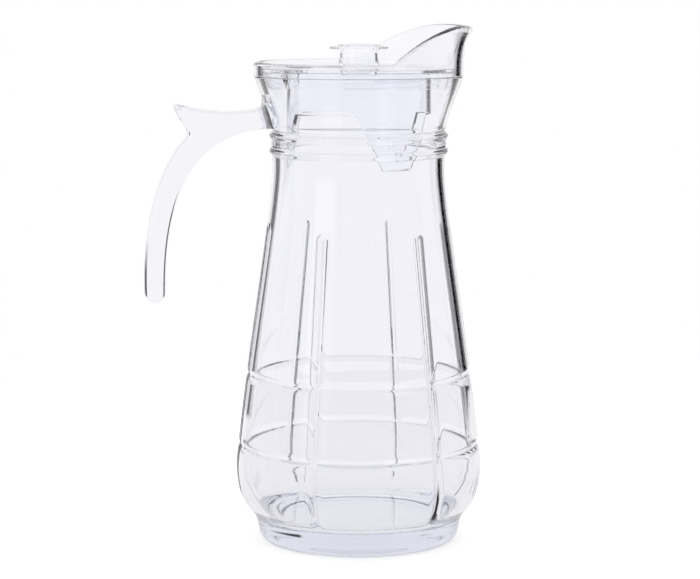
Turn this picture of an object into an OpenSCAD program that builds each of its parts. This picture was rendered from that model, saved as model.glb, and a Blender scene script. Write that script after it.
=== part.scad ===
// Pressed glass pitcher with a fused hook handle and a clear plastic lid.
// The axis of the pitcher is Z, it stands on Z = 0, and its spout points along +X.

/* [Jug] */
// Height of the round rim above the table
body_h = 238; // [214:1:262]
// Outer radius of the belly
belly_r = 61.2; // [58:0.2:66]
// Outer radius of the neck
neck_r = 42.6; // [40:0.2:45]
// Outer radius of the band round the rim
rim_r = 51.6; // [50:0.2:53]
// Wall of the body
wall = 3.4; // [2.8:0.1:4.2]
// Thickness of the glass in the bottom
base_t = 12.8; // [10:0.2:15]
// Outer radius of the foot, under the belly
foot_r = 51.8; // [48:0.2:54]
// Height of the foot
foot_h = 13.6; // [10:0.2:15]
// Width of the rounded heel of the foot
heel_w = 6.4; // [4:0.2:9]
// Height of the hollow under the bottom
kick_h = 1.6; // [0.8:0.1:3]

/* [Mould pattern] */
// Width of the ring grooves
groove_w = 5.4; // [3:0.2:7]
// Depth of the ring grooves
groove_d = 1.5; // [0.8:0.1:1.8]
// Number of upright channels
channel_n = 6; // [3:1:8]
// Width of the upright channels
channel_w = 8; // [5:0.5:11]
// Depth of the upright channels
channel_d = 1.4; // [0.8:0.1:1.8]
// Radius of the two beads round the neck
bead_r = 1.7; // [1.2:0.1:2.2]
// How far the upper bead stands out
bead_out = 1.4; // [0.8:0.1:1.6]

/* [Spout] */
// Height of the spout's lip above the rim
spout_h = 18.4; // [10:0.2:26]
// How far the tip leans out past the rim
spout_lean = 5.4; // [2:0.2:9]
// Wall of the spout
spout_wall = 3; // [2.4:0.1:3.4]
// Dip of the lip at its tip
spout_dip = 1.4; // [0:0.1:3]

/* [Handle] */
// Reach of the handle from the axis
handle_reach = 106.4; // [98:0.2:118]
// Thickness of the handle, side to side
handle_t = 15; // [11:0.5:20]
// Depth of the grip arm
arm_w = 10; // [8:0.2:13]
// Depth of the bar where it meets the collar
bar_w = 12.4; // [10:0.2:15]
// Length of the arm below the bar
arm_len = 90; // [70:0.5:100]
// Rounding of the handle's edges
handle_round = 1.8; // [1:0.1:2.4]
// Radius of the thumb rest's tip
horn_r = 2; // [1.9:0.1:3]

/* [Lid] */
// Gap between the lid and the glass around it
lid_gap = 0.4; // [0.3:0.05:0.8]
// Thickness of the lid plate
plate_t = 2; // [1.6:0.1:2.6]
// Height of the lid's edge on its seat
lid_edge_h = 3.9; // [3:0.1:4.6]
// Depth of the ring under the plate
plug_h = 5; // [3:0.2:7]
// Outer radius of the skirt
skirt_r = 35.8; // [33:0.2:37]
// Thickness of the skirt
skirt_t = 1.8; // [1.4:0.1:2.4]
// Height of the closed part of the skirt, under the seat
skirt_h = 18; // [12:0.5:24]
// Length of the tabs
tab_len = 27; // [16:0.5:32]
// Number of tabs
tab_n = 3; // [2:1:4]
// Angle by which the lid stands turned in the collar
lid_turn_deg = -8; // [-60:1:60]
// Radius of the nibs on the tabs
nib_r = 1.4; // [1:0.1:2]

/* [Knob] */
// Height of the knob above the plate
knob_h = 11.2; // [9:0.2:16]
// Radius of the knob's flange
knob_flange_r = 14.4; // [12:0.2:17]
// Radius of the knob's neck
knob_neck_r = 9.4; // [8:0.2:10.4]
// Radius of the knob's foot
knob_foot_r = 10.4; // [9.6:0.2:12]
// Wall of the knob
knob_wall = 1.5; // [1.2:0.1:2]
// Radius of the knob's stub in the lid
stub_r = 6; // [4.5:0.1:6.4]
// Running gap between the stub and its hole
stub_gap = 0.05; // [0.03:0.01:0.1]

/* [Hidden] */
$fn = 96;

// One overrun for every cut
over = 1;
// Gap between snapped faces of the knob and the lid
snap_gap = 0.1;
// Height of the snap ring below the plate
snap_h = 1.2;
// How far the snap ring stands out past its hole
snap_out = 1;
glass_tint = [0.86, 0.88, 0.93, 0.45];
lid_tint = [0.84, 0.83, 0.92, 0.55];

// Heights along the body, as shares of its height
belly_z_share = 0.164;
groove_low_share = 0.2035;
groove_high_share = 0.3525;
channel_top_share = 0.672;
neck_low_share = 0.7815;
bead_low_share = 0.8165;
bead_high_share = 0.8485;
cone_low_share = 0.857;
seat_share = 0.9727;

belly_z = body_h * belly_z_share;
neck_low_z = body_h * neck_low_share;
cone_low_z = body_h * cone_low_share;
seat_z = body_h * seat_share;
channel_top_z = body_h * channel_top_share;
bead_low_z = body_h * bead_low_share;
bead_high_z = body_h * bead_high_share;

// Inner radii of the collar
bore_r = rim_r - wall;
seat_w = wall * 0.38;
seat_r = bore_r - seat_w;
throat_r = neck_r - wall;
bearing_r = foot_r - heel_w;

// A point of a cubic curve, and n steps along it
function curve_at(a, b, c, d, t) =
    a * pow(1 - t, 3) + b * 3 * t * pow(1 - t, 2) + c * 3 * t * t * (1 - t) + d * pow(t, 3);
function curve(a, b, c, d, n) = [for (i = [0:n]) curve_at(a, b, c, d, i / n)];
function rest(list) = [for (i = [1:len(list) - 1]) list[i]];
function unit(v) = v / norm(v);

// The outside of the body from the foot up to the neck
function belly_low(n) = curve(
    [foot_r, foot_h],
    [foot_r + (belly_r - foot_r) * 0.4, foot_h * 1.15],
    [belly_r, foot_h + (belly_z - foot_h) * 0.26],
    [belly_r, belly_z], n);
function belly_high(n) = curve(
    [belly_r, belly_z],
    [belly_r - (belly_r - neck_r) * 0.28, belly_z + (neck_low_z - belly_z) * 0.36],
    [neck_r, neck_low_z - (neck_low_z - belly_z) * 0.12],
    [neck_r, neck_low_z], n);
function collar_out(n) = curve(
    [neck_r, cone_low_z],
    [neck_r + (rim_r - neck_r) * 0.16, cone_low_z + (seat_z - cone_low_z) * 0.35],
    [neck_r + (rim_r - neck_r) * 0.64, cone_low_z + (seat_z - cone_low_z) * 0.62],
    [rim_r, seat_z], n);
function collar_in(n) = curve(
    [seat_r, seat_z],
    [throat_r + (seat_r - throat_r) * 0.64, cone_low_z + (seat_z - cone_low_z) * 0.62],
    [throat_r + (seat_r - throat_r) * 0.16, cone_low_z + (seat_z - cone_low_z) * 0.35],
    [throat_r, cone_low_z], n);
function body_in(n) = curve(
    [throat_r, neck_low_z],
    [throat_r, neck_low_z - (neck_low_z - belly_z) * 0.12],
    [belly_r - wall - (belly_r - neck_r) * 0.28, belly_z + (neck_low_z - belly_z) * 0.36],
    [belly_r - wall, belly_z], n);
function floor_in(n) = curve(
    [belly_r - wall, belly_z],
    [belly_r - wall, belly_z - (belly_z - base_t) * 0.6],
    [foot_r, base_t],
    [foot_r * 0.77, base_t], n);
function heel(n) = curve(
    [bearing_r, 0],
    [foot_r - heel_w * 0.3, 0],
    [foot_r - heel_w * 0.3, foot_h * 0.3],
    [foot_r, foot_h], n);
function rim_round(n) = curve(
    [rim_r, body_h - wall * 0.45],
    [rim_r, body_h + wall * 0.05],
    [bore_r, body_h + wall * 0.05],
    [bore_r, body_h - wall * 0.45], n);
function kick(n) = [for (i = [0:n - 1]) [bearing_r * 0.9 * i / n, kick_h * (1 - pow(i / n, 2))]];

jug_outline = concat(
    kick(6), [[bearing_r * 0.9, 0]], heel(7), rest(belly_low(9)), rest(belly_high(16)),
    collar_out(7), rim_round(6), [[bore_r, seat_z]], collar_in(7), body_in(16),
    rest(floor_in(9)), [[0, base_t]]);

// A ring groove, cut round the body where its wall has radius r
module ring_groove(z_share) {
    z = body_h * z_share;
    cut_r = (pow(groove_w / 2, 2) + pow(groove_d, 2)) / (2 * groove_d);
    r = wall_r(z);
    rotate_extrude() translate([r - groove_d + cut_r, z]) circle(cut_r);
}

// Radius of the outside at height z, along the upper curve
function wall_r(z) = lookup(z, [for (p = belly_high(40)) [p[1], p[0]]]);

// The path of a channel down the outside, with the direction of each step
channel_path = concat(
    [for (s = [0, 0.06, 0.24, 0.5, 0.76]) arch_point(s)],
    [for (p = reversed(belly_high(16))) if (p[1] < channel_top_z - channel_w / 2) p],
    [for (p = rest(reversed(belly_low(9)))) p]);
function arch_point(s) = let (z = channel_top_z - channel_w / 2 * s) [wall_r(z), z];
function reversed(list) = [for (i = [len(list) - 1:-1:0]) list[i]];
function step_dir(i) = unit(
    channel_path[min(i + 1, len(channel_path) - 1)] - channel_path[max(i - 1, 0)]);

// Half width of the channel at a point, rounded to an arch at the top
function half_w(i) = let (s = (channel_top_z - channel_path[i][1]) / (channel_w / 2))
    s < 1 ? channel_w / 2 * sqrt(max(0.001, 1 - pow(1 - s, 2))) : channel_w / 2;

// One ring of the channel cutter: an arc of the given half width, then two far corners
arc_n = 6;
cut_r_channel = (pow(channel_w / 2, 2) + pow(channel_d, 2)) / (2 * channel_d);
function cutter_ring(i) = let (
        p = channel_path[i], d = step_dir(i), out = [-d[1], d[0]],
        back = cut_r_channel - channel_d, hw = half_w(i),
        r = sqrt(pow(back, 2) + pow(hw, 2)), far = back + channel_d)
    concat(
        [for (k = [0:arc_n]) let (a = atan2(hw, back) * 1.15 * (2 * k / arc_n - 1))
            ring_point(p, out, back - r * cos(a), r * sin(a))],
        [ring_point(p, out, far, channel_w * 0.7), ring_point(p, out, far, -channel_w * 0.7)]);
function ring_point(p, out, away, side) = [p[0] + out[0] * away, side, p[1] + out[1] * away];

// A closed tube through rings of equal length. Its ends are ladders between a ring's two sides
module skin(rings) {
    m = len(rings[0]);
    n = len(rings);
    end = [for (k = [0:floor((m - 1) / 2) - 1]) each k + 1 < m - 2 - k
        ? [[k, k + 1, m - 2 - k], [k, m - 2 - k, m - 1 - k]]
        : [[k, k + 1, m - 1 - k]]];
    polyhedron(
        points = [for (ring = rings) each ring],
        faces = concat(
            end,
            [for (i = [0:n - 2], k = [0:m - 1]) each [
                [i * m + k, (i + 1) * m + (k + 1) % m, i * m + (k + 1) % m],
                [i * m + k, (i + 1) * m + k, (i + 1) * m + (k + 1) % m]]],
            [for (f = end) [for (j = [2:-1:0]) (n - 1) * m + f[j]]]),
        convexity = 6);
}

// Spout: a shell raised from the rim band, its angle a measured from the tip
spout_half_deg = 80;
spout_n = 16;
spout_rows = 6;
spout_low_z = seat_z + (body_h - seat_z) * 0.3;
spout_start_z = body_h - wall * 0.5;
function fin(a) = 1 - pow(abs(a) / spout_half_deg, 3.3);
function beak(a) = pow(max(0, 1 - abs(a) / (spout_half_deg / 2)), 2);
function lip_z(a) = spout_start_z + (spout_h + wall * 0.5) * fin(a) - spout_dip * beak(a);
function spout_point(a, v, r) = let (lean = spout_lean * beak(a) * v * v)
    [(r + lean) * cos(a), (r + lean) * sin(a), spout_low_z + (lip_z(a) - spout_low_z) * v];
function spout_ring(a) = let (
        out_r = rim_r - wall * 0.05, in_r = out_r - spout_wall)
    concat(
        [for (j = [0:spout_rows]) spout_point(a, j / spout_rows, out_r)],
        [for (j = [spout_rows:-1:0]) spout_point(a, j / spout_rows, in_r)]);

module jug_body() {
    color(glass_tint) union() {
        difference() {
            union() {
                rotate_extrude() polygon(jug_outline);
                for (z = [bead_high_z, bead_low_z])
                    rotate_extrude()
                        translate([neck_r + bead_out - bead_r, z]) circle(bead_r);
            }
            ring_groove(groove_low_share);
            ring_groove(groove_high_share);
            for (k = [0:channel_n - 1])
                rotate([0, 0, k * 360 / channel_n])
                    skin([for (i = [0:len(channel_path) - 1]) cutter_ring(i)]);
        }
        skin([for (i = [spout_n:-1:-spout_n]) spout_ring(spout_half_deg * i / spout_n)]);
    }
}

// Handle outline in the X-Z plane, x counted outwards from the axis
bar_top_z = seat_z - body_h * 0.056;
bar_low_z = bar_top_z - bar_w;
arm_low_z = bar_low_z - arm_len;
elbow_x = handle_reach - arm_w;
root_x = neck_r - wall * 0.5;
horn_x = handle_reach - arm_w * 1.72;
horn_z = bar_top_z - bar_w * 0.02;
notch = [handle_reach - arm_w * 2.2, bar_low_z - bar_w * 0.22];
handle_outline = concat(
    curve([root_x, bar_low_z], [elbow_x - elbow_x * 0.17, bar_low_z],
        [elbow_x, bar_low_z - arm_len * 0.3], [elbow_x, arm_low_z + arm_w], 30),
    [for (a = [15:15:165]) [elbow_x + arm_w / 2 - arm_w / 2 * cos(a),
        arm_low_z + arm_w - arm_w / 2 * sin(a)]],
    curve([handle_reach, arm_low_z + arm_w], [handle_reach + arm_w * 0.1, arm_low_z + arm_len * 0.53],
        [handle_reach - arm_w * 0.9, bar_low_z - arm_len * 0.16], notch, 12),
    rest(curve(notch, [notch[0] + arm_w * 0.16, notch[1] + bar_w * 0.5],
        [horn_x + horn_r * 0.6, horn_z - bar_w * 0.55], [horn_x + horn_r, horn_z - horn_r], 5)),
    [for (a = [30:30:90]) [horn_x + horn_r * cos(a), horn_z - horn_r + horn_r * sin(a)]],
    rest(curve([horn_x, horn_z], [horn_x - bar_w * 1.1, horn_z - bar_w * 0.3],
        [root_x + bar_w * 1.5, bar_top_z - bar_w * 0.5], [root_x, bar_top_z], 10)));

// The outline drawn in by c, along the mean normal of each corner
function inset(points, c) = [for (i = [0:len(points) - 1]) let (
        n = len(points),
        u = unit(points[(i + 1) % n] - points[(i + n - 1) % n]))
    points[i] + [-u[1], u[0]] * c];
function handle_ring(side_share, inset_share) =
    [for (p = inset(handle_outline, handle_round * inset_share)) [-p[0], handle_t / 2 * side_share, p[1]]];
// Places of the rings across the handle, as shares of half its thickness, and their insets
edge_step = handle_round / (handle_t / 2);

module handle() {
    color(glass_tint) difference() {
        skin([
            handle_ring(-1, 1), handle_ring(-1 + edge_step * 0.2, 0.45),
            handle_ring(-1 + edge_step * 0.65, 0.08), handle_ring(-1 + edge_step * 1.4, 0),
            handle_ring(1 - edge_step * 1.4, 0), handle_ring(1 - edge_step * 0.65, 0.08),
            handle_ring(1 - edge_step * 0.2, 0.45), handle_ring(1, 1)]);
        rotate_extrude() polygon(concat(
            [[0, cone_low_z - bar_w]], [[neck_r, cone_low_z - bar_w]], collar_out(7), [[0, seat_z]]));
    }
}

// Lid: plate, edge on the seat, ring below it, and the skirt with its tabs
lid_r = bore_r - lid_gap;
lid_top_z = seat_z + lid_edge_h;
plate_low_z = lid_top_z - plate_t;
plug_r = seat_r - lid_gap;
plug_low_z = seat_z - plug_h;
plug_low_r = plug_r - plug_h * 0.42;
skirt_low_z = seat_z - skirt_h;
tab_low_z = skirt_low_z - tab_len;
hole_r = stub_r + stub_gap;
tab_step = 360 / tab_n;
// Half widths of the windows, as shares of half the angle between tabs
window_top_share = 0.46;
window_low_share = 0.79;
window_top_w = skirt_r * sin(tab_step / 2 * window_top_share);
window_low_w = skirt_r * sin(tab_step / 2 * window_low_share);
// Half width of the pouring notches in the edge, and how far in they reach in the plate and below it
pour_w = lid_r * 0.34;
pour_plate_r = plug_low_r - plate_t * 0.4;
pour_low_r = plug_low_r - plate_t * 2.6;

module lid_blank() {
    rotate_extrude() polygon([
        [hole_r, plate_low_z], [skirt_r - skirt_t, plate_low_z], [skirt_r - skirt_t, tab_low_z],
        [skirt_r, tab_low_z], [skirt_r, plate_low_z], [plug_r - plate_t, plate_low_z],
        [plug_low_r - plate_t * 0.9, plug_low_z], [plug_low_r, plug_low_z], [plug_r, seat_z],
        [lid_r, seat_z], [lid_r, lid_top_z - plate_t * 0.3], [lid_r - plate_t * 0.3, lid_top_z],
        [hole_r, lid_top_z]]);
}

// A window between two tabs, cut outwards along +X, and the pouring notch above it
module window() {
    translate([skirt_r / 2, 0, 0]) rotate([90, 0, 90]) linear_extrude(skirt_r)
        polygon([
            [-window_top_w, skirt_low_z], [window_top_w, skirt_low_z],
            [window_low_w, tab_low_z - over], [-window_low_w, tab_low_z - over]]);
    translate([pour_low_r, -pour_w, plug_low_z - over])
        cube([lid_r, pour_w * 2, plate_low_z - plug_low_z + over]);
    translate([pour_plate_r, -pour_w, plug_low_z - over])
        cube([lid_r, pour_w * 2, lid_top_z - plug_low_z + over * 2]);
}

module nib() {
    nib_z = tab_low_z + tab_len * 0.22;
    translate([skirt_r - skirt_t / 2, 0, nib_z]) rotate([0, 90, 0])
        cylinder(h = throat_r - lid_gap - skirt_r + skirt_t / 2, r = nib_r);
}

module lid() {
    color(lid_tint) rotate([0, 0, lid_turn_deg + tab_step / 2]) union() {
        difference() {
            lid_blank();
            for (k = [0:tab_n - 1]) rotate([0, 0, (k + 0.5) * tab_step]) window();
        }
        for (k = [0:tab_n - 1]) rotate([0, 0, k * tab_step]) nib();
    }
}

// Knob: a hollow spool with a thin flange, snapped into the hole of the plate
knob_top_z = lid_top_z + knob_h;
flange_z = knob_top_z - knob_wall * 1.3;

module knob() {
    snap_top_z = plate_low_z - snap_gap;
    color(lid_tint) rotate_extrude() polygon(concat(
        [[0, snap_top_z - snap_h], [hole_r + snap_out - snap_h / 2, snap_top_z - snap_h],
            [hole_r + snap_out, snap_top_z - snap_h / 2], [hole_r + snap_out, snap_top_z],
            [stub_r, snap_top_z], [stub_r, lid_top_z + snap_gap],
            [knob_foot_r, lid_top_z + snap_gap]],
        curve([knob_foot_r, lid_top_z + knob_wall], [knob_neck_r, lid_top_z + knob_h * 0.4],
            [knob_neck_r, flange_z - knob_wall], [knob_flange_r - knob_wall * 0.8, flange_z - knob_wall], 8),
        [for (a = [-60:30:90]) [knob_flange_r - knob_wall / 2 + knob_wall / 2 * cos(a),
            flange_z + knob_wall * 0.2 + knob_wall / 2 * sin(a)]],
        curve([knob_flange_r - knob_wall, flange_z + knob_wall * 0.65],
            [knob_neck_r + knob_wall * 0.6, flange_z + knob_wall * 0.65],
            [knob_neck_r + knob_wall * 0.2, knob_top_z], [knob_neck_r - knob_wall * 0.3, knob_top_z], 5),
        [[knob_neck_r - knob_wall, knob_top_z - knob_wall * 0.5],
            [knob_foot_r - knob_wall * 1.8, lid_top_z + knob_wall * 1.4],
            [knob_foot_r - knob_wall * 2.6, lid_top_z + knob_wall],
            [0, lid_top_z + knob_wall]]));
}

jug_body();
handle();
lid();
knob();
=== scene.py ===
import math

import bmesh
import bpy
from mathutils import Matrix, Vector


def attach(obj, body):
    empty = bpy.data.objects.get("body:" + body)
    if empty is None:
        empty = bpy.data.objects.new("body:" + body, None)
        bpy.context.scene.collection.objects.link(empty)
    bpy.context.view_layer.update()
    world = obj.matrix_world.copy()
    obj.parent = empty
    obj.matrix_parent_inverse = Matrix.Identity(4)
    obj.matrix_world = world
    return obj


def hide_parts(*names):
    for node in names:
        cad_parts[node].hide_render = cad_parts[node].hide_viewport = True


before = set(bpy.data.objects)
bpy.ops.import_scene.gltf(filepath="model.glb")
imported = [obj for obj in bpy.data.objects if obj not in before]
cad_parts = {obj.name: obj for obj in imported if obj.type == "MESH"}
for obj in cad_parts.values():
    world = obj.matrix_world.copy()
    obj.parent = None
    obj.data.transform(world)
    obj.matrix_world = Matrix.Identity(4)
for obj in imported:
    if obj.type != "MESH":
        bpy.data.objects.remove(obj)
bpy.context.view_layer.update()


# Jug body
# One piece of clear soda glass, pressed and blown in a mould: a thick foot, a belly whose panels stand
# out between rounded grooves and channels, a neck with two beads, a collar with the lid's ledge, and a
# raised spout. Its outline is turned round the axis by one tree, which also sinks the mould pattern.

MM = 0.001

body_h = 238 * MM
belly_r = 61.2 * MM
neck_r = 42.6 * MM
rim_r = 51.6 * MM
wall = 3.4 * MM
base_t = 12.8 * MM
foot_r = 51.8 * MM
foot_h = 13.6 * MM
heel_w = 6.4 * MM
kick_h = 3.2 * MM
kick_steepness = 6
bead_half_h = 2.2 * MM
bead_out = 1.1 * MM
band_out = 0.5 * MM
corner_r = 0.25 * MM

belly_z = body_h * 0.164
neck_low_z = body_h * 0.7815
cone_low_z = body_h * 0.857
seat_z = body_h * 0.9727
bore_r = rim_r - wall
seat_r = bore_r - wall * 0.38
throat_r = neck_r - wall
bearing_r = foot_r - heel_w

groove_zs = (body_h * 0.2035, body_h * 0.3525)
groove_w = 8.4 * MM
channel_w = 11.0 * MM
pattern_depth = 1.6 * MM
pattern_edge = 4.9 * MM
pattern_roundness = 2.8
panel_edge_round = 2.0 * MM
panel_corner = 3.0 * MM
channel_top_z = body_h * 0.672
channel_low_z = foot_h + 4 * MM
channel_n = 6

spout_h = 18.4 * MM
spout_lean = 5.4 * MM
spout_dip = 1.4 * MM
spout_half_angle = math.radians(80)
spout_fullness = 3.3


def curve(a, b, c, d, n):
    """n steps along a cubic curve, without its first point."""
    steps = [i / n for i in range(1, n + 1)]
    return [tuple(p * (1 - t) ** 3 + 3 * q * t * (1 - t) ** 2 + 3 * r * t * t * (1 - t) + s * t ** 3
                  for p, q, r, s in zip(a, b, c, d)) for t in steps]


def arc(centre, r, start, end, n):
    """n + 1 points round an arc, its angles in degrees."""
    angles = [math.radians(start + (end - start) * i / n) for i in range(n + 1)]
    return [(centre[0] + r * math.cos(a), centre[1] + r * math.sin(a)) for a in angles]


def spaced(points, gap):
    """The points of a fine curve that lie gap(height) or more from the last one kept, and its end."""
    kept = [points[0]]
    for p in points[1:-1]:
        if math.dist(p, kept[-1]) >= gap(p[1]):
            kept.append(p)
    return kept + [points[-1]]


groove_bottom_gap = 0.33 * MM
groove_edge_gap = 0.7 * MM
plain_gap = 2.6 * MM


def belly_gap(z):
    """Rows of the mesh lie close together where a groove or the top of a channel crosses them."""
    near = min(abs(z - groove_z) for groove_z in groove_zs)
    if near < groove_w * 0.22:
        return groove_bottom_gap
    at_edge = near < groove_w * 0.75 or -channel_w < z - channel_top_z < MM
    return groove_edge_gap if at_edge else plain_gap


fine_n = 400
kick_n = 24
kick_r = bearing_r * 0.94
kick = [(kick_r * i / kick_n, kick_h * (1 - (i / kick_n) ** kick_steepness)) for i in range(kick_n + 1)]
heel = curve((bearing_r, 0), (foot_r - heel_w * 0.3, 0), (foot_r - heel_w * 0.3, foot_h * 0.3),
             (foot_r, foot_h), 30)
belly_low = curve((foot_r, foot_h), (foot_r + (belly_r - foot_r) * 0.4, foot_h * 1.15),
                  (belly_r, foot_h + (belly_z - foot_h) * 0.26), (belly_r, belly_z), fine_n)
belly_high = curve((belly_r, belly_z),
                   (belly_r - (belly_r - neck_r) * 0.28, belly_z + (neck_low_z - belly_z) * 0.36),
                   (neck_r, neck_low_z - (neck_low_z - belly_z) * 0.12), (neck_r, neck_low_z), fine_n)
bead_zs = (body_h * 0.8165, body_h * 0.8485)

# A soft corner takes the foot over into the belly, and meets the belly's curve at its own slope
corner_at = 100
corner_pull = 3 * MM
heel = [p for p in heel if p[1] < foot_h * 0.64]
corner_end, past_end = belly_low[corner_at], belly_low[corner_at + 1]
corner_way = Vector((past_end[0] - corner_end[0], past_end[1] - corner_end[1])).normalized()
foot_corner = curve(heel[-1], (foot_r, foot_h * 0.9),
                    tuple(Vector(corner_end) - corner_way * corner_pull), corner_end, 12)


def bump(off, half):
    """A smooth hill from 0 at the ends to 1 in the middle."""
    return (1 + math.cos(math.pi * min(abs(off) / half, 1))) / 2


def band_r(z):
    """The neck's radius: two beads on a low raised band."""
    low, high = bead_zs[0] - bead_half_h * 1.3, bead_zs[1] + bead_half_h * 1.3
    band = bump(max(low + bead_half_h - z, z - high + bead_half_h, 0), bead_half_h)
    bead = max(bump(z - bead_z, bead_half_h) for bead_z in bead_zs)
    return neck_r + band_out * band + bead_out * bead


band_n = 48
band_low_z = bead_zs[0] - bead_half_h * 1.4
band_high_z = bead_zs[1] + bead_half_h * 1.4
band_zs = [band_low_z + (band_high_z - band_low_z) * i / band_n for i in range(band_n + 1)]
beads = [(band_r(z), z) for z in band_zs]
flare_low_z = cone_low_z + (seat_z - cone_low_z) * 0.35
flare_high_z = cone_low_z + (seat_z - cone_low_z) * 0.62
collar_out = curve((neck_r, cone_low_z), (neck_r + (rim_r - neck_r) * 0.16, flare_low_z),
                   (neck_r + (rim_r - neck_r) * 0.64, flare_high_z), (rim_r, seat_z), 20)
rim_low_z = body_h - wall / 2
rim_round = arc((rim_r - wall / 2, rim_low_z), wall / 2, 0, 180, 12)
seat_corner = arc((bore_r - corner_r, seat_z + corner_r), corner_r, 0, -90, 4)
ledge_corner = arc((seat_r + corner_r, seat_z - corner_r), corner_r, 90, 180, 4)
collar_in = curve((seat_r, seat_z - corner_r), (throat_r + (seat_r - throat_r) * 0.64, flare_high_z),
                  (throat_r + (seat_r - throat_r) * 0.16, flare_low_z), (throat_r, cone_low_z), 14)
body_in = curve((throat_r, neck_low_z), (throat_r, neck_low_z - (neck_low_z - belly_z) * 0.12),
                (belly_r - wall - (belly_r - neck_r) * 0.28, belly_z + (neck_low_z - belly_z) * 0.36),
                (belly_r - wall, belly_z), 40)
floor_r = foot_r * 0.77
floor_in = curve((belly_r - wall, belly_z), (belly_r - wall, belly_z - (belly_z - base_t) * 0.6),
                 (foot_r, base_t), (floor_r, base_t), 26)
floor_flat = [(floor_r * (1 - i / 6), base_t) for i in range(1, 7)]

# The rim has rows enough to be drawn up into the spout, and a soft corner below it
spout_low_z = seat_z + (body_h - seat_z) * 0.3
rim_n = 8
rim_zs = [spout_low_z + (rim_low_z - spout_low_z) * i / rim_n for i in range(rim_n)]
outer_band = [(rim_r, z) for z in rim_zs]
inner_band = [(bore_r, z) for z in reversed(rim_zs)]
collar_low = [p for p in collar_out[:-2] if p[1] > band_high_z + corner_r]
rim_corner = curve(collar_low[-1], collar_out[-1], (rim_r, seat_z + 0.5 * MM),
                   (rim_r, seat_z + 1.5 * MM), 10)
belly = spaced([*belly_low[corner_at:], *belly_high], belly_gap)
jug_outline = (kick + [(bearing_r, 0)] + heel + foot_corner + belly[1:] + beads + collar_low + rim_corner
               + outer_band + rim_round + inner_band + seat_corner + ledge_corner
               + collar_in + [(throat_r, neck_low_z)] + body_in + floor_in + floor_flat)


def linear(hex_colour):
    """A linear RGBA colour from an sRGB hex value."""
    parts = [int(hex_colour[i:i + 2], 16) / 255 for i in (1, 3, 5)]
    return tuple(p / 12.92 if p <= 0.04045 else ((p + 0.055) / 1.055) ** 2.4 for p in parts) + (1.0,)


def add(tree, kind, inputs=(), **settings):
    """Adds a node with its settings, and links or fills its inputs, given in order or by name."""
    made = tree.nodes.new(kind)
    for name, value in settings.items():
        setattr(made, name, value)
    for key, value in inputs.items() if isinstance(inputs, dict) else enumerate(inputs):
        if isinstance(value, bpy.types.Node):
            value = value.outputs[0]
        if isinstance(value, bpy.types.NodeSocket):
            tree.links.new(value, made.inputs[key])
        elif value is not None:
            made.inputs[key].default_value = value
    return made


def new_tree(name, sizes):
    """A Geometry Nodes tree with one named input for each size, and its group input."""
    tree = bpy.data.node_groups.new(name, "GeometryNodeTree")
    tree.interface.new_socket("Outline", in_out="INPUT", socket_type="NodeSocketGeometry")
    for size, value in sizes.items():
        whole = isinstance(value, int)
        kind = "NodeSocketMaterial" if isinstance(value, bpy.types.Material) else (
            "NodeSocketInt" if whole else "NodeSocketFloat")
        tree.interface.new_socket(size, in_out="INPUT", socket_type=kind)
    tree.interface.new_socket("Geometry", in_out="OUTPUT", socket_type="NodeSocketGeometry")
    return tree, add(tree, "NodeGroupInput")


merge_gap = 0.002 * MM


def grown(name, outline, tree, sizes):
    """The plain mesh that a tree makes from an outline, as an object at the origin."""
    line = bpy.data.curves.new(name + "_outline", "CURVE")
    line.dimensions = "3D"
    spline = line.splines.new("POLY")
    spline.points.add(len(outline) - 1)
    for point, (r, z) in zip(spline.points, outline):
        point.co = (r, 0, z, 1)
    seed = bpy.data.objects.new(name + "_seed", line)
    bpy.context.scene.collection.objects.link(seed)
    modifier = seed.modifiers.new("made", "NODES")
    modifier.node_group = tree
    for item in tree.interface.items_tree:
        if item.in_out == "INPUT" and item.name in sizes:
            modifier[item.identifier] = sizes[item.name]
    bpy.context.view_layer.update()
    depsgraph = bpy.context.evaluated_depsgraph_get()
    mesh = bpy.data.meshes.new_from_object(seed.evaluated_get(depsgraph), depsgraph=depsgraph)
    bpy.data.objects.remove(seed)
    made = bpy.data.objects.new(name, mesh)
    bpy.context.scene.collection.objects.link(made)
    return made


def turned_sheet(tree, size):
    """A sheet with a column for each step round the axis and a row for each point of the outline."""
    rows = add(tree, "GeometryNodeAttributeDomainSize", [size["Outline"]], component="CURVE")
    columns = add(tree, "ShaderNodeMath", [size["Segments"], 1], operation="ADD")
    sheet = add(tree, "GeometryNodeMeshGrid", {
        "Size X": 1.0, "Size Y": 1.0, "Vertices X": columns,
        "Vertices Y": rows.outputs["Point Count"]})
    spot = add(tree, "ShaderNodeSeparateXYZ", [add(tree, "GeometryNodeInputPosition")])
    across = add(tree, "ShaderNodeMath", [spot.outputs["X"], 0.5], operation="ADD")
    along = add(tree, "ShaderNodeMath", [spot.outputs["Y"], 0.5], operation="ADD")
    last_row = add(tree, "ShaderNodeMath", [rows.outputs["Point Count"], 1], operation="SUBTRACT")
    row = add(tree, "ShaderNodeMath", [
        add(tree, "ShaderNodeMath", [along, last_row], operation="MULTIPLY")], operation="ROUND")
    point = add(tree, "GeometryNodeInputPosition")
    here, before, after = [
        add(tree, "GeometryNodeSampleIndex", [
            size["Outline"], point, add(tree, "ShaderNodeMath", [row, step], operation="ADD")],
            data_type="FLOAT_VECTOR", clamp=True)
        for step in (0, -1, 1)]
    way = add(tree, "ShaderNodeVectorMath", [
        add(tree, "ShaderNodeVectorMath", [after, before], operation="SUBTRACT")],
        operation="NORMALIZE")
    return sheet, across, here, way


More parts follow.
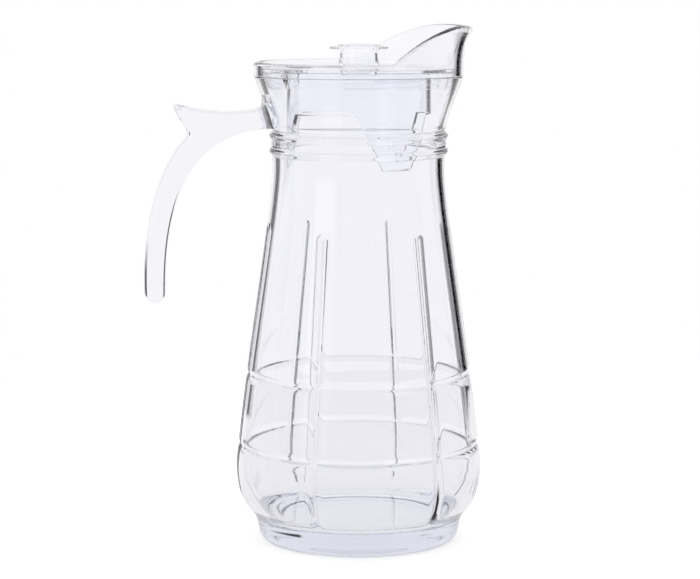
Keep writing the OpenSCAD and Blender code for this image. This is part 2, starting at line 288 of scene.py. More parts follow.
def turned(tree, sheet, radius, angle, height):
    """The sheet wrapped round the axis, with its seam and its poles closed."""
    placed = add(tree, "GeometryNodeSetPosition", {"Geometry": sheet, "Position": add(
        tree, "ShaderNodeCombineXYZ", [
            add(tree, "ShaderNodeMath", [radius, add(
                tree, "ShaderNodeMath", [angle], operation="COSINE")], operation="MULTIPLY"),
            add(tree, "ShaderNodeMath", [radius, add(
                tree, "ShaderNodeMath", [angle], operation="SINE")], operation="MULTIPLY"),
            height])})
    closed = add(tree, "GeometryNodeMergeByDistance", {"Geometry": placed, "Distance": merge_gap})
    return add(tree, "GeometryNodeSetShadeSmooth", {"Geometry": closed})


def finished(tree, shape, material):
    """The end of a tree: a plain mesh with its material."""
    whole = add(tree, "GeometryNodeRealizeInstances", [shape])
    add(tree, "NodeGroupOutput", [add(
        tree, "GeometryNodeSetMaterial", {"Geometry": whole, "Material": material})])


# Clear soda-lime glass, fire polished: no grain, a faint lavender grey that deepens with the length of
# the light's way through it, and long soft ripples left by the mould
clear_glass = bpy.data.materials.new("soda_glass_fire_polished")
clear_glass.use_nodes = True
nodes = clear_glass.node_tree
nodes.nodes.clear()
place = add(nodes, "ShaderNodeTexCoord")
ripple = add(nodes, "ShaderNodeTexNoise", {
    "Vector": place.outputs["Object"], "Scale": 45.0, "Detail": 1.0})
ripple_bump = add(nodes, "ShaderNodeBump", {
    "Height": ripple.outputs[0], "Strength": 0.1, "Distance": 0.3 * MM})
glass = add(nodes, "ShaderNodeBsdfPrincipled", {
    "Base Color": linear("#FAFAFD"), "Roughness": 0.0, "IOR": 1.5, "Transmission Weight": 1.0,
    "Normal": ripple_bump})
depth_tint = add(nodes, "ShaderNodeVolumeAbsorption", {"Color": linear("#D7D9E8"), "Density": 9.0})
add(nodes, "ShaderNodeOutputMaterial", {"Surface": glass, "Volume": depth_tint})

jug_sizes = {
    "Segments": 300, "Channels": channel_n, "Channel width": channel_w, "Channel top": channel_top_z,
    "Channel low": channel_low_z, "Groove width": groove_w, "Low groove": groove_zs[0],
    "High groove": groove_zs[1], "Pattern depth": pattern_depth, "Pattern edge": pattern_edge,
    "Panel edge round": panel_edge_round, "Panel corner": panel_corner, "Rim low": rim_low_z,
    "Spout low": spout_low_z, "Spout height": spout_h, "Spout lean": spout_lean, "Spout dip": spout_dip,
    "Spout half angle": spout_half_angle, "Glass": clear_glass}
jug_tree, given = new_tree("turned_and_pressed_jug", jug_sizes)
size = given.outputs
sheet, across, here, way = turned_sheet(jug_tree, size)
at = add(jug_tree, "ShaderNodeSeparateXYZ", [here])
heading = add(jug_tree, "ShaderNodeSeparateXYZ", [way])

# Columns crowd at the channels: within a sector the angle is a mix of the step and its cube
sector = add(jug_tree, "ShaderNodeMath", [across, size["Channels"]], operation="MULTIPLY")
nearest = add(jug_tree, "ShaderNodeMath", [sector], operation="ROUND")
off = add(jug_tree, "ShaderNodeMath", [
    add(jug_tree, "ShaderNodeMath", [sector, nearest], operation="SUBTRACT"), 2], operation="MULTIPLY")
cube = add(jug_tree, "ShaderNodeMath", [off, 3], operation="POWER")
even_share = 0.25
crowded = add(jug_tree, "ShaderNodeMath", [
    add(jug_tree, "ShaderNodeMath", [off, even_share], operation="MULTIPLY"),
    add(jug_tree, "ShaderNodeMath", [cube, 1 - even_share], operation="MULTIPLY")], operation="ADD")
half_sector = add(jug_tree, "ShaderNodeMath", [math.pi, size["Channels"]], operation="DIVIDE")
off_angle = add(jug_tree, "ShaderNodeMath", [crowded, half_sector], operation="MULTIPLY")
sector_angle = add(jug_tree, "ShaderNodeMath", [
    add(jug_tree, "ShaderNodeMath", [nearest, half_sector], operation="MULTIPLY"), 2],
    operation="MULTIPLY")
angle = add(jug_tree, "ShaderNodeMath", [sector_angle, off_angle], operation="ADD")

# How far a point lies inside a channel, with its arched top, and inside a ring groove
sideways = add(jug_tree, "ShaderNodeMath", [off_angle, at.outputs["X"]], operation="MULTIPLY")
half_channel = add(jug_tree, "ShaderNodeMath", [size["Channel width"], 2], operation="DIVIDE")
arch_z = add(jug_tree, "ShaderNodeMath", [size["Channel top"], half_channel], operation="SUBTRACT")
past_top = add(jug_tree, "ShaderNodeMath", [
    add(jug_tree, "ShaderNodeMath", [at.outputs["Z"], arch_z], operation="SUBTRACT"), 0],
    operation="MAXIMUM")
past_low = add(jug_tree, "ShaderNodeMath", [
    add(jug_tree, "ShaderNodeMath", [size["Channel low"], at.outputs["Z"]], operation="SUBTRACT"), 0],
    operation="MAXIMUM")
past_end = add(jug_tree, "ShaderNodeMath", [past_top, past_low], operation="MAXIMUM")
from_line = add(jug_tree, "ShaderNodeVectorMath", [
    add(jug_tree, "ShaderNodeCombineXYZ", [sideways, past_end])], operation="LENGTH")
in_pattern = add(jug_tree, "ShaderNodeMath", [
    half_channel, from_line.outputs["Value"]], operation="SUBTRACT")
half_groove = add(jug_tree, "ShaderNodeMath", [size["Groove width"], 2], operation="DIVIDE")
for groove in ("Low groove", "High groove"):
    off_groove = add(jug_tree, "ShaderNodeMath", [
        add(jug_tree, "ShaderNodeMath", [at.outputs["Z"], size[groove]], operation="SUBTRACT")],
        operation="ABSOLUTE")
    in_groove = add(jug_tree, "ShaderNodeMath", [half_groove, off_groove], operation="SUBTRACT")
    in_pattern = add(jug_tree, "ShaderNodeMath", [in_pattern, in_groove, size["Panel corner"]],
                     operation="SMOOTH_MAX")
in_pattern = add(jug_tree, "ShaderNodeMath", [
    in_pattern, 0, size["Panel edge round"]], operation="SMOOTH_MAX")
share = add(jug_tree, "ShaderNodeMapRange", {
    "Value": in_pattern, "From Min": 0.0, "From Max": size["Pattern edge"]})
sunk = add(jug_tree, "ShaderNodeMath", [
    add(jug_tree, "ShaderNodeMath", [share, pattern_roundness], operation="POWER"),
    size["Pattern depth"]], operation="MULTIPLY")

# Only the outer wall is pressed, where the outline climbs, and it sinks along its own normal
climb = 0.3
outer = add(jug_tree, "ShaderNodeMath", [heading.outputs["Z"], climb], operation="GREATER_THAN")
sink = add(jug_tree, "ShaderNodeMath", [sunk, outer], operation="MULTIPLY")
inwards = add(jug_tree, "ShaderNodeCombineXYZ", [
    add(jug_tree, "ShaderNodeMath", [heading.outputs["Z"], -1], operation="MULTIPLY"), None,
    heading.outputs["X"]])
pressed = add(jug_tree, "ShaderNodeSeparateXYZ", [add(jug_tree, "ShaderNodeVectorMath", [
    here, add(jug_tree, "ShaderNodeVectorMath", {0: inwards, "Scale": sink}, operation="SCALE")],
    operation="ADD")])

# The rim band is drawn up into the spout: full over most of its angle, and pulled out at the tip
from_tip = add(jug_tree, "ShaderNodeMath", [
    add(jug_tree, "ShaderNodeMath", [angle, math.pi, -math.pi], operation="WRAP")], operation="ABSOLUTE")
tip_share = add(jug_tree, "ShaderNodeMath", [from_tip, size["Spout half angle"]], operation="DIVIDE")
fin = add(jug_tree, "ShaderNodeMath", [1, add(jug_tree, "ShaderNodeMath", [
    add(jug_tree, "ShaderNodeMath", [tip_share, 1], operation="MINIMUM"), spout_fullness],
    operation="POWER")], operation="SUBTRACT")
beak = add(jug_tree, "ShaderNodeMath", [add(jug_tree, "ShaderNodeMath", [
    add(jug_tree, "ShaderNodeMath", [tip_share, -2, 1], operation="MULTIPLY_ADD"), 0],
    operation="MAXIMUM"), 2], operation="POWER")
lift = add(jug_tree, "ShaderNodeMath", [
    add(jug_tree, "ShaderNodeMath", [fin, size["Spout height"]], operation="MULTIPLY"),
    add(jug_tree, "ShaderNodeMath", [beak, size["Spout dip"]], operation="MULTIPLY")],
    operation="SUBTRACT")
raised = add(jug_tree, "ShaderNodeMapRange", {
    "Value": at.outputs["Z"], "From Min": size["Spout low"], "From Max": size["Rim low"]})
spout_z = add(jug_tree, "ShaderNodeMath", [lift, raised, pressed.outputs["Z"]], operation="MULTIPLY_ADD")
lean = add(jug_tree, "ShaderNodeMath", [
    add(jug_tree, "ShaderNodeMath", [beak, size["Spout lean"]], operation="MULTIPLY"),
    add(jug_tree, "ShaderNodeMath", [raised, 2], operation="POWER")], operation="MULTIPLY")
spout_r = add(jug_tree, "ShaderNodeMath", [pressed.outputs["X"], lean], operation="ADD")
finished(jug_tree, turned(jug_tree, sheet, spout_r, angle, spout_z), size["Glass"])

jug = grown("jug_glass", jug_outline, jug_tree, jug_sizes)
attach(jug, "jug")
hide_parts("jug_body")


# Handle
# A solid hook of the same glass, pressed on its own and fused hot to the collar, where the soft glass
# spreads into a fillet. Its thumb rest ends in a small horn, its arm hangs free, its edges are round.

handle_reach = 106.4 * MM
handle_t = 15 * MM
arm_w = 10 * MM
bar_w = 12.4 * MM
arm_len = 90 * MM
edge_round = 3.2 * MM
horn_r = 2 * MM
seam_fillet = 4.8 * MM
fillet_side_share = 0.95
fillet_up_share = 0.85
seam_gap = 0.02 * MM
seam_reach = 14 * MM
bar_top_z = seat_z - body_h * 0.056
bar_low_z = bar_top_z - bar_w
arm_low_z = bar_low_z - arm_len
elbow_x = handle_reach - arm_w
root_x = neck_r - wall / 2
horn_x = handle_reach - arm_w * 1.72
horn_z = bar_top_z - bar_w * 0.02
notch = (handle_reach - arm_w * 2.2, bar_low_z - bar_w * 0.22)
tip_centre = (elbow_x + arm_w / 2, arm_low_z + arm_w)


def collar_radius(z):
    """Outer radius of the neck and collar at a height."""
    for (r0, z0), (r1, z1) in zip(collar_out, collar_out[1:]):
        if z0 <= z <= z1:
            return r0 + (r1 - r0) * (z - z0) / (z1 - z0)
    return neck_r if z < seat_z else rim_r


def drawn_in(outline, depth):
    """The outline moved inwards along the mean normal of each corner, less so near the small horn."""
    moved = []
    for i, (x, z) in enumerate(outline):
        back, ahead = outline[max(i - 1, 0)], outline[min(i + 1, len(outline) - 1)]
        way = Vector((ahead[0] - back[0], ahead[1] - back[1])).normalized()
        room = min(1, 0.42 + math.dist((x, z), (horn_x, horn_z - horn_r)) / (9 * horn_r))
        moved.append((x - way.y * depth * room, z + way.x * depth * room))
    return moved


# From the collar out along the underside of the bar, round the end of the arm, up its back to the
# notch, over the horn, and back along the top to the collar
hook = (
    curve((root_x, bar_low_z), (elbow_x * 0.83, bar_low_z), (elbow_x, bar_low_z - arm_len * 0.3),
          (elbow_x, arm_low_z + arm_w), 60)
    + arc(tip_centre, arm_w / 2, 180, 360, 20)[1:]
    + curve((handle_reach, arm_low_z + arm_w),
            (handle_reach + arm_w * 0.1, arm_low_z + arm_len * 0.53),
            (handle_reach - arm_w * 0.9, bar_low_z - arm_len * 0.16), notch, 36)
    + curve(notch, (notch[0] + arm_w * 0.16, notch[1] + bar_w * 0.5),
            (horn_x + horn_r * 0.6, horn_z - bar_w * 0.55), (horn_x + horn_r, horn_z - horn_r), 14)
    + arc((horn_x, horn_z - horn_r), horn_r, 0, 90, 8)[1:]
    + curve((horn_x, horn_z), (horn_x - bar_w * 1.1, horn_z - bar_w * 0.3),
            (root_x + bar_w * 1.5, bar_top_z - bar_w * 0.5), (root_x, bar_top_z), 40))
hook = [p for p in hook if p[0] > collar_radius(p[1]) + seam_fillet / 6]
hook = [(collar_radius(bar_low_z), bar_low_z)] + hook + [(collar_radius(bar_top_z), bar_top_z)]

# A closed shell of rings side by side, first with the distance from the collar in place of x
edge_steps = 8
edge_angles = [math.pi / 2 * i / edge_steps for i in range(edge_steps + 1)]
flat_half = handle_t / 2 - edge_round
half_rings = [(flat_half + edge_round * math.sin(a), edge_round * (1 - math.cos(a)))
              for a in edge_angles]
half_rings.append((handle_t / 2, edge_round * 1.12))
shell_rings = [(-y, depth) for y, depth in reversed(half_rings)] + half_rings
shell = bmesh.new()
rings = []
for y, depth in shell_rings:
    ring = []
    for i, (x, z) in enumerate(drawn_in(hook, depth)):
        at_seam = i in (0, len(hook) - 1)
        ring.append(shell.verts.new((0 if at_seam else max(x - collar_radius(z), 0), y, z)))
    rings.append(ring)
for ring, beside in zip(rings, rings[1:]):
    for k in range(len(hook)):
        ahead = (k + 1) % len(hook)
        shell.faces.new((ring[ahead], ring[k], beside[k], beside[ahead]))
shell.faces.new(rings[0])
shell.faces.new(reversed(rings[-1]))

# Cuts beside the seam, closest together at it, and cuts along the bar give the fillet its mesh
seam_cuts = 16
bar_cuts = 8
cut_gap = 0.001 * MM
cuts = [((seam_reach * (i / seam_cuts) ** 1.5, 0, 0), (1, 0, 0)) for i in range(1, seam_cuts + 1)]
cuts += [((0, 0, bar_low_z + bar_w * i / bar_cuts), (0, 0, 1)) for i in range(1, bar_cuts)]
for cut_at, across_cut in cuts:
    bmesh.ops.bisect_plane(shell, geom=shell.verts[:] + shell.edges[:] + shell.faces[:],
                           plane_co=cut_at, plane_no=across_cut, dist=cut_gap)

# The fillet spreads the bar upwards and sideways at the seam, and its end follows the round collar
for vert in shell.verts:
    clear, y, z = vert.co
    near = max(1 - clear / seam_fillet, 0)
    spread = seam_fillet * (1 - math.sqrt(1 - near ** 2))
    y *= 1 + fillet_side_share * seam_fillet * near ** 1.15 / (handle_t / 2)
    z += spread * min(max((z - bar_low_z) / bar_w, 0), 1) * fillet_up_share
    r = collar_radius(z) + seam_gap + clear
    vert.co = (-math.sqrt(r ** 2 - y ** 2 * max(1 - clear / seam_reach, 0)), y, z)
bmesh.ops.remove_doubles(shell, verts=shell.verts, dist=merge_gap)
bmesh.ops.recalc_face_normals(shell, faces=shell.faces)
handle_mesh = bpy.data.meshes.new("handle_glass")
shell.to_mesh(handle_mesh)
shell.free()
handle_mesh.materials.append(clear_glass)
handle_mesh.shade_smooth()
handle_mesh.set_sharp_from_angle(angle=math.radians(50))
handle = bpy.data.objects.new("handle_glass", handle_mesh)
bpy.context.scene.collection.objects.link(handle)
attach(handle, "jug")
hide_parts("handle")


# Lid
# One clear plastic moulding: a plate whose edge lies on the ledge in the collar, a shallow ring below
# it, and a skirt with three tapered tabs that steady it in the neck. Three notches let the drink out.

lid_gap = 0.4 * MM
plate_t = 2 * MM
lid_edge_h = 3.9 * MM
plug_h = 5 * MM
skirt_r = 35.8 * MM
skirt_t = 1.8 * MM
skirt_h = 18 * MM
tab_len = 27 * MM
tab_n = 3
lid_turn_deg = -8
nib_r = 1.4 * MM
stub_r = 6 * MM
stub_gap = 0.05 * MM
lid_round = 0.35 * MM
lid_r = bore_r - lid_gap
lid_top_z = seat_z + lid_edge_h
plate_low_z = lid_top_z - plate_t
plug_r = seat_r - lid_gap
plug_low_z = seat_z - plug_h
plug_low_r = plug_r - plug_h * 0.42
tab_low_z = seat_z - skirt_h - tab_len
tip_h = 1.3 * MM
tip_guard = 0.3 * MM
tip_z = tab_low_z + tip_h
hole_r = stub_r + stub_gap
half_step = math.pi / tab_n


def rounded(corners, r):
    """The corners of an outline as round bends, each with a point just before and after it."""
    points = [corners[0]]
    for before, corner, after in zip(corners, corners[1:], corners[2:]):
        c, u, v = Vector(corner), Vector(before) - Vector(corner), Vector(after) - Vector(corner)
        bend_r = min(r, u.length * 0.3, v.length * 0.3)
        u.normalize()
        v.normalize()
        turn = math.pi - u.angle(v)
        reach = bend_r * math.tan(turn / 2)
        pull = reach - bend_r * 4 / 3 * math.tan(turn / 4)
        start, end = c + u * reach, c + v * reach
        points += [tuple(c + u * (reach + bend_r * 0.25)), tuple(start)]
        points += curve(start, c + u * pull, c + v * pull, end, 5)
        points.append(tuple(c + v * (reach + bend_r * 0.25)))
    return points + [corners[-1]]


# Clear moulded styrene-acrylonitrile: gloss from the mould, and a faint lavender cast
clear_plastic = bpy.data.materials.new("clear_moulded_plastic")
clear_plastic.use_nodes = True
nodes = clear_plastic.node_tree
nodes.nodes.clear()
place = add(nodes, "ShaderNodeTexCoord")
flow = add(nodes, "ShaderNodeTexNoise", {
    "Vector": place.outputs["Object"], "Scale": 70.0, "Detail": 1.0})
flow_bump = add(nodes, "ShaderNodeBump", {
    "Height": flow.outputs[0], "Strength": 0.1, "Distance": 0.15 * MM})
plastic = add(nodes, "ShaderNodeBsdfPrincipled", {
    "Base Color": linear("#FDFDFF"), "Roughness": 0.0, "IOR": 1.5, "Transmission Weight": 1.0,
    "Normal": flow_bump})
add(nodes, "ShaderNodeOutputMaterial", {"Surface": plastic})

# The skirt ends round, in an arc drawn out downwards, with a row of points just above it
skirt_end = [(x, tip_z + z * tip_h * 2 / skirt_t)
             for x, z in arc((skirt_r - skirt_t / 2, 0), skirt_t / 2, 180, 360, 14)]
lid_outline = rounded([
    (hole_r, plate_low_z), (skirt_r - skirt_t, plate_low_z),
    (skirt_r - skirt_t, tip_z + tip_guard)], lid_round)
lid_outline += skirt_end + rounded([
    (skirt_r, tip_z + tip_guard), (skirt_r, plate_low_z), (plug_r - plate_t, plate_low_z),
    (plug_low_r - plate_t * 0.9, plug_low_z), (plug_low_r, plug_low_z), (plug_r, seat_z),
    (lid_r, seat_z), (lid_r, lid_top_z), (hole_r, lid_top_z), (hole_r, plate_low_z)], lid_round)

lid_sizes = {
    "Segments": 360, "Tabs": tab_n, "First tab angle": math.radians(lid_turn_deg) + half_step,
    "Tab half angle low": half_step * 0.21, "Tab half angle high": half_step * 0.54,
    "Tab length": tab_len, "Tab ends below": tip_z + tip_guard * 1.1,
    "Notch half angle": half_step * 0.33, "Notch radius": plug_low_r - plate_t * 0.4,
    "Plate low": plate_low_z, "Skirt radius": skirt_r, "Skirt wall": skirt_t,
    "Nib radius": nib_r, "Nib height": tab_low_z + tab_len * 0.22,
    "Nib length": throat_r - lid_gap - skirt_r + skirt_t / 2, "Plastic": clear_plastic}
lid_tree, given = new_tree("turned_lid_with_tabs", lid_sizes)
size = given.outputs
sheet, across, here, _ = turned_sheet(lid_tree, size)
at = add(lid_tree, "ShaderNodeSeparateXYZ", [here])
angle = add(lid_tree, "ShaderNodeMath", [across, 2 * math.pi], operation="MULTIPLY")
half_turn = add(lid_tree, "ShaderNodeMath", [math.pi, size["Tabs"]], operation="DIVIDE")
half_back = add(lid_tree, "ShaderNodeMath", [half_turn, -1], operation="MULTIPLY")
past_first = add(lid_tree, "ShaderNodeMath", [angle, size["First tab angle"]], operation="SUBTRACT")
from_tab = add(lid_tree, "ShaderNodeMath", [
    add(lid_tree, "ShaderNodeMath", [past_first, half_turn, half_back], operation="WRAP")],
    operation="ABSOLUTE")

# The skirt's end rises from the tabs to the tops of the windows
rise_share = add(lid_tree, "ShaderNodeMapRange", {
    "Value": from_tab, "From Min": size["Tab half angle low"],
    "From Max": size["Tab half angle high"]})
at_end = add(lid_tree, "ShaderNodeMath", [
    at.outputs["Z"], size["Tab ends below"]], operation="LESS_THAN")
lifted = add(lid_tree, "ShaderNodeMath", [
    add(lid_tree, "ShaderNodeMath", [rise_share, at_end], operation="MULTIPLY"), size["Tab length"],
    at.outputs["Z"]], operation="MULTIPLY_ADD")

# In a notch the ring is gone, and the plate ends further in
notch_side = 0.01
skirt_clear = 0.5 * MM
edge_slack = 0.01 * MM
notch_start = add(lid_tree, "ShaderNodeMath", [
    half_turn, size["Notch half angle"]], operation="SUBTRACT")
notch_end = add(lid_tree, "ShaderNodeMath", [notch_start, notch_side], operation="ADD")
in_notch = add(lid_tree, "ShaderNodeMapRange", {
    "Value": from_tab, "From Min": notch_start, "From Max": notch_end})
off_skirt = add(lid_tree, "ShaderNodeMath", [
    at.outputs["X"], size["Skirt radius"]], operation="SUBTRACT")
at_edge = add(lid_tree, "ShaderNodeMath", [off_skirt, skirt_clear], operation="GREATER_THAN")
cut = add(lid_tree, "ShaderNodeMath", [in_notch, at_edge], operation="MULTIPLY")
just_below = add(lid_tree, "ShaderNodeMath", [size["Plate low"], edge_slack], operation="SUBTRACT")
below = add(lid_tree, "ShaderNodeMath", [at.outputs["Z"], just_below], operation="LESS_THAN")
nearer = add(lid_tree, "ShaderNodeMath", [
    at.outputs["X"], size["Notch radius"]], operation="MINIMUM")
cut_r = add(lid_tree, "ShaderNodeMix", {0: below, 2: nearer, 3: size["Notch radius"]})
cut_z = add(lid_tree, "ShaderNodeMath", [at.outputs["Z"], size["Plate low"]], operation="MAXIMUM")
lid_at_r = add(lid_tree, "ShaderNodeMix", {0: cut, 2: at.outputs["X"], 3: cut_r})
lid_at_z = add(lid_tree, "ShaderNodeMix", {0: cut, 2: lifted, 3: cut_z})
blank = turned(lid_tree, sheet, lid_at_r, angle, lid_at_z)

# A nib on each tab, a little way into its wall
nib_tip = add(lid_tree, "ShaderNodeMath", [size["Nib radius"], 0.7], operation="MULTIPLY")
nib = add(lid_tree, "GeometryNodeMeshCone", {
    "Vertices": 20, "Radius Top": nib_tip, "Radius Bottom": size["Nib radius"],
    "Depth": size["Nib length"]})
nib_from = add(lid_tree, "ShaderNodeMath", [
    size["Skirt wall"], -0.5, size["Skirt radius"]], operation="MULTIPLY_ADD")
nib_spot = add(lid_tree, "ShaderNodeCombineXYZ", [nib_from, 0, size["Nib height"]])
nib = add(lid_tree, "GeometryNodeTransform", {
    "Geometry": nib, "Translation": nib_spot, "Rotation": (0, math.pi / 2, 0)})
spots = add(lid_tree, "GeometryNodeMeshLine", {"Count": size["Tabs"], "Offset": (0, 0, 0)})
nib_angle = add(lid_tree, "ShaderNodeMath", [
    add(lid_tree, "GeometryNodeInputIndex"), add(
        lid_tree, "ShaderNodeMath", [half_turn, 2], operation="MULTIPLY"), size["First tab angle"]],
    operation="MULTIPLY_ADD")
turn_nib = add(lid_tree, "FunctionNodeEulerToRotation", [add(
    lid_tree, "ShaderNodeCombineXYZ", [0, 0, nib_angle])])
nibs = add(lid_tree, "GeometryNodeInstanceOnPoints", {
    "Points": spots, "Instance": nib, "Rotation": turn_nib})
joined = add(lid_tree, "GeometryNodeJoinGeometry")
for part in (nibs, blank):
    lid_tree.links.new(part.outputs[0], joined.inputs[0])
finished(lid_tree, joined, size["Plastic"])

lid = grown("lid_plastic", lid_outline, lid_tree, lid_sizes)
lid.data.set_sharp_from_angle(angle=math.radians(35))
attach(lid, "lid")
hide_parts("lid")


# Knob
# A hollow spool of the same clear plastic, thin walled, with a brim for the fingers. Its stub snaps
# into the hole of the plate from above.

knob_h = 11.2 * MM
knob_brim_r = 14.4 * MM
knob_neck_r = 9.4 * MM
knob_foot_r = 10.1 * MM
knob_wall = 1.2 * MM
snap_gap = 0.1 * MM
snap_h = 1.2 * MM
snap_out = 1 * MM
knob_round = 0.3 * MM
knob_top_z = lid_top_z + knob_h
snap_top_z = plate_low_z - snap_gap
foot_z = lid_top_z + snap_gap
cup_r = knob_neck_r - knob_wall
cup_z = lid_top_z + knob_wall
brim_z = knob_top_z - knob_wall * 1.5
under_brim_z = brim_z - knob_wall * 2.2
brim_half = knob_wall * 0.45
brim_tip = (knob_brim_r - brim_half, brim_z)
over_brim = (knob_neck_r - knob_wall * 0.3, knob_top_z)

# From the middle of the stub's end out to the snap shoulder, up the neck, round the brim and into the cup
knob_outline = rounded([
    (0, snap_top_z - snap_h), (hole_r + snap_out - snap_h / 2, snap_top_z - snap_h),
    (hole_r + snap_out, snap_top_z - snap_h / 2), (hole_r + snap_out, snap_top_z),
    (stub_r, snap_top_z), (stub_r, foot_z), (knob_foot_r, foot_z),
    (knob_neck_r, under_brim_z)], knob_round)[:-1]
knob_outline += (
    [(knob_neck_r, under_brim_z)]
    + curve((knob_neck_r, under_brim_z), (knob_neck_r, brim_z - knob_wall * 0.7),
            (knob_neck_r + knob_wall, brim_z - knob_wall * 0.6), (brim_tip[0], brim_z - brim_half), 8)
    + arc(brim_tip, brim_half, -90, 90, 8)[1:]
    + curve((brim_tip[0], brim_z + brim_half),
            (knob_neck_r + knob_wall * 1.4, brim_z + knob_wall * 0.5),
            (knob_neck_r + knob_wall * 0.5, knob_top_z), over_brim, 8)
    + curve(over_brim, (cup_r, knob_top_z), (cup_r, brim_z), (cup_r, brim_z - knob_wall), 6)
    + rounded([(cup_r, brim_z - knob_wall * 2), (knob_foot_r - knob_wall * 1.4, cup_z), (0, cup_z)],
              knob_wall))
knob_sizes = {"Segments": 120, "Plastic": clear_plastic}
knob_tree, given = new_tree("turned_knob", knob_sizes)
size = given.outputs
sheet, across, here, _ = turned_sheet(knob_tree, size)
at = add(knob_tree, "ShaderNodeSeparateXYZ", [here])
angle = add(knob_tree, "ShaderNodeMath", [across, 2 * math.pi], operation="MULTIPLY")
spool = turned(knob_tree, sheet, at.outputs["X"], angle, at.outputs["Z"])
finished(knob_tree, spool, size["Plastic"])
knob = grown("knob_plastic", knob_outline, knob_tree, knob_sizes)
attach(knob, "knob")
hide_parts("knob")


# Floor, studio light and camera
# A pale floor and a soft white studio, a little dimmer behind the camera. Black flags stand beside the
# background, so that the glass shows the thin dark lines that it shows in a bright studio.

floor_mesh = bpy.data.meshes.new("floor")
floor_half = 0.5
floor_z = -0.05 * MM
floor_corners = ((-1, -1), (1, -1), (1, 1), (-1, 1))
floor_mesh.from_pydata([(x * floor_half, y * floor_half, floor_z) for x, y in floor_corners],
                       [], [(0, 1, 2, 3)])
floor = bpy.data.objects.new("floor", floor_mesh)
bpy.context.scene.collection.objects.link(floor)
floor_paint = bpy.data.materials.new("white_floor_paint")
floor_paint.use_nodes = True
nodes = floor_paint.node_tree
nodes.nodes.clear()
paint = add(nodes, "ShaderNodeBsdfDiffuse", {"Color": linear("#E7E7E7")})

# The floor is lifted to white for the camera, and is nearly a plain white light for rays from the glass
floor_lift = 0.5
floor_in_glass = 0.95
in_glass_share = 0.85
ray = add(nodes, "ShaderNodeLightPath")
through = add(nodes, "ShaderNodeMath", [
    ray.outputs["Is Transmission Ray"], ray.outputs["Is Glossy Ray"]], operation="MAXIMUM")
seen = add(nodes, "ShaderNodeMath", [ray.outputs["Is Camera Ray"], floor_lift], operation="MULTIPLY")
lift_white = add(nodes, "ShaderNodeEmission", {"Color": linear("#FFFFFF"), "Strength": seen})
both = add(nodes, "ShaderNodeAddShader", [paint, lift_white])
in_glass = add(nodes, "ShaderNodeEmission", {"Color": linear("#FFFFFF"), "Strength": floor_in_glass})
shown = add(nodes, "ShaderNodeMixShader", [
    add(nodes, "ShaderNodeMath", [through, in_glass_share], operation="MULTIPLY"), both, in_glass])
add(nodes, "ShaderNodeOutputMaterial", {"Surface": shown})
floor_mesh.materials.append(floor_paint)

world = bpy.data.worlds.new("white_studio")
world.use_nodes = True
bpy.context.scene.world = world
nodes = world.node_tree
nodes.nodes.clear()
look = add(nodes, "ShaderNodeTexCoord")
direction = add(nodes, "ShaderNodeSeparateXYZ", [look.outputs["Generated"]])

# Bearing of a ray from the way that the camera of the photo looks, growing to the right, and its rise
# over the horizon, both in degrees
forward = 8.8
degrees = 180 / math.pi
bearing = add(nodes, "ShaderNodeMath", [
    add(nodes, "ShaderNodeMath", [direction.outputs["X"], direction.outputs["Y"]], operation="ARCTAN2"),
    degrees, -forward], operation="MULTIPLY_ADD")
bearing = add(nodes, "ShaderNodeMath", [bearing, 180, -180], operation="WRAP")
rise = add(nodes, "ShaderNodeMath", [
    add(nodes, "ShaderNodeMath", [direction.outputs["Z"]], operation="ARCSINE"), degrees],
    operation="MULTIPLY")


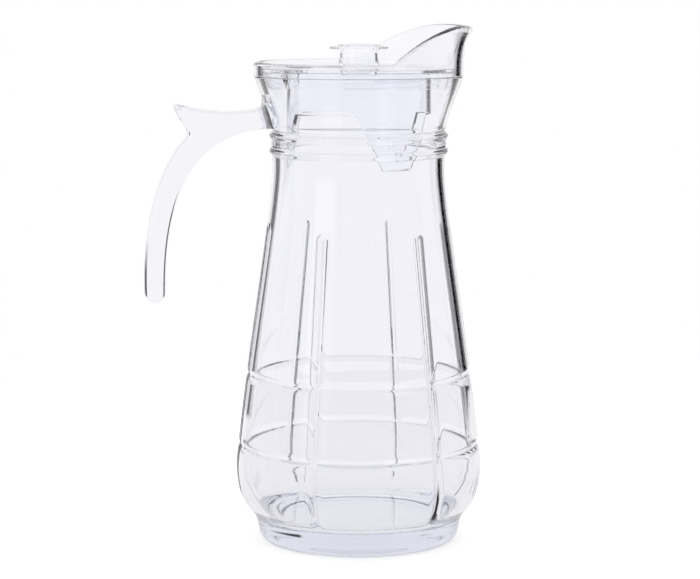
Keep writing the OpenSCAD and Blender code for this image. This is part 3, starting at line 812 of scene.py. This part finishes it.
def patch(low, high, under, over, soft):
    """1 inside a patch of the world from bearing low to high and rise under to over, 0 outside."""
    edges = []
    for value, start, end in ((bearing, low, high), (rise, under, over)):
        for edge, inside in ((start, 1.0), (end, 0.0)):
            edges.append(add(nodes, "ShaderNodeMapRange", {
                "Value": value, "From Min": edge - soft, "From Max": edge + soft,
                "To Min": 1 - inside, "To Max": inside}, interpolation_type="SMOOTHSTEP"))
    across_patch = add(nodes, "ShaderNodeMath", edges[:2], operation="MULTIPLY")
    up_patch = add(nodes, "ShaderNodeMath", edges[2:], operation="MULTIPLY")
    return add(nodes, "ShaderNodeMath", [across_patch, up_patch], operation="MULTIPLY")


back_light = 0.88
back_from, back_to = 85.0, 100.0
light = add(nodes, "ShaderNodeMapRange", {
    "Value": add(nodes, "ShaderNodeMath", [bearing], operation="ABSOLUTE"), "From Min": back_from,
    "From Max": back_to, "To Min": 1.0, "To Max": back_light}, interpolation_type="SMOOTHSTEP")

# Flags: bearing from and to, rise from and to, softness of the edge, all in degrees, and darkness
for *sides, dark in ((24, 50, -9, 6, 1.5, 1.0), (-44, -26, -11, 4, 1.5, 0.9)):
    left_over = add(nodes, "ShaderNodeMath", [patch(*sides), -dark, 1], operation="MULTIPLY_ADD")
    light = add(nodes, "ShaderNodeMath", [light, left_over], operation="MULTIPLY")

# Soft boxes, in the same order, with the light that each adds
for *sides, more in ((122, 155, 14, 30, 2, 1.0), (-148, -120, 0, 50, 4, 0.6)):
    light = add(nodes, "ShaderNodeMath", [patch(*sides), more, light], operation="MULTIPLY_ADD")
ray = add(nodes, "ShaderNodeLightPath")
strength = add(nodes, "ShaderNodeMath", [light, ray.outputs["Is Camera Ray"]], operation="MAXIMUM")
background = add(nodes, "ShaderNodeBackground", {"Color": linear("#FFFFFF"), "Strength": strength})
add(nodes, "ShaderNodeOutputWorld", [background])

camera_data = bpy.data.cameras.new("camera")
camera_data.sensor_width = 36
camera_data.lens = 125.14
camera_data.clip_end = 100
camera = bpy.data.objects.new("camera", camera_data)
bpy.context.scene.collection.objects.link(camera)
bearing_deg, pitch_deg = 8.794, -7.548
camera.location = (-0.1877, -1.1852, 0.284)
camera.rotation_euler = (math.radians(90 + pitch_deg), 0, math.radians(-bearing_deg))
bpy.context.scene.camera = camera
bpy.context.scene.view_settings.view_transform = "Standard"

# Light goes through many faces, and reflections inside the glass count as glossy bounces
bpy.context.scene.cycles.max_bounces = 32
bpy.context.scene.cycles.transmission_bounces = 32
bpy.context.scene.cycles.glossy_bounces = 12
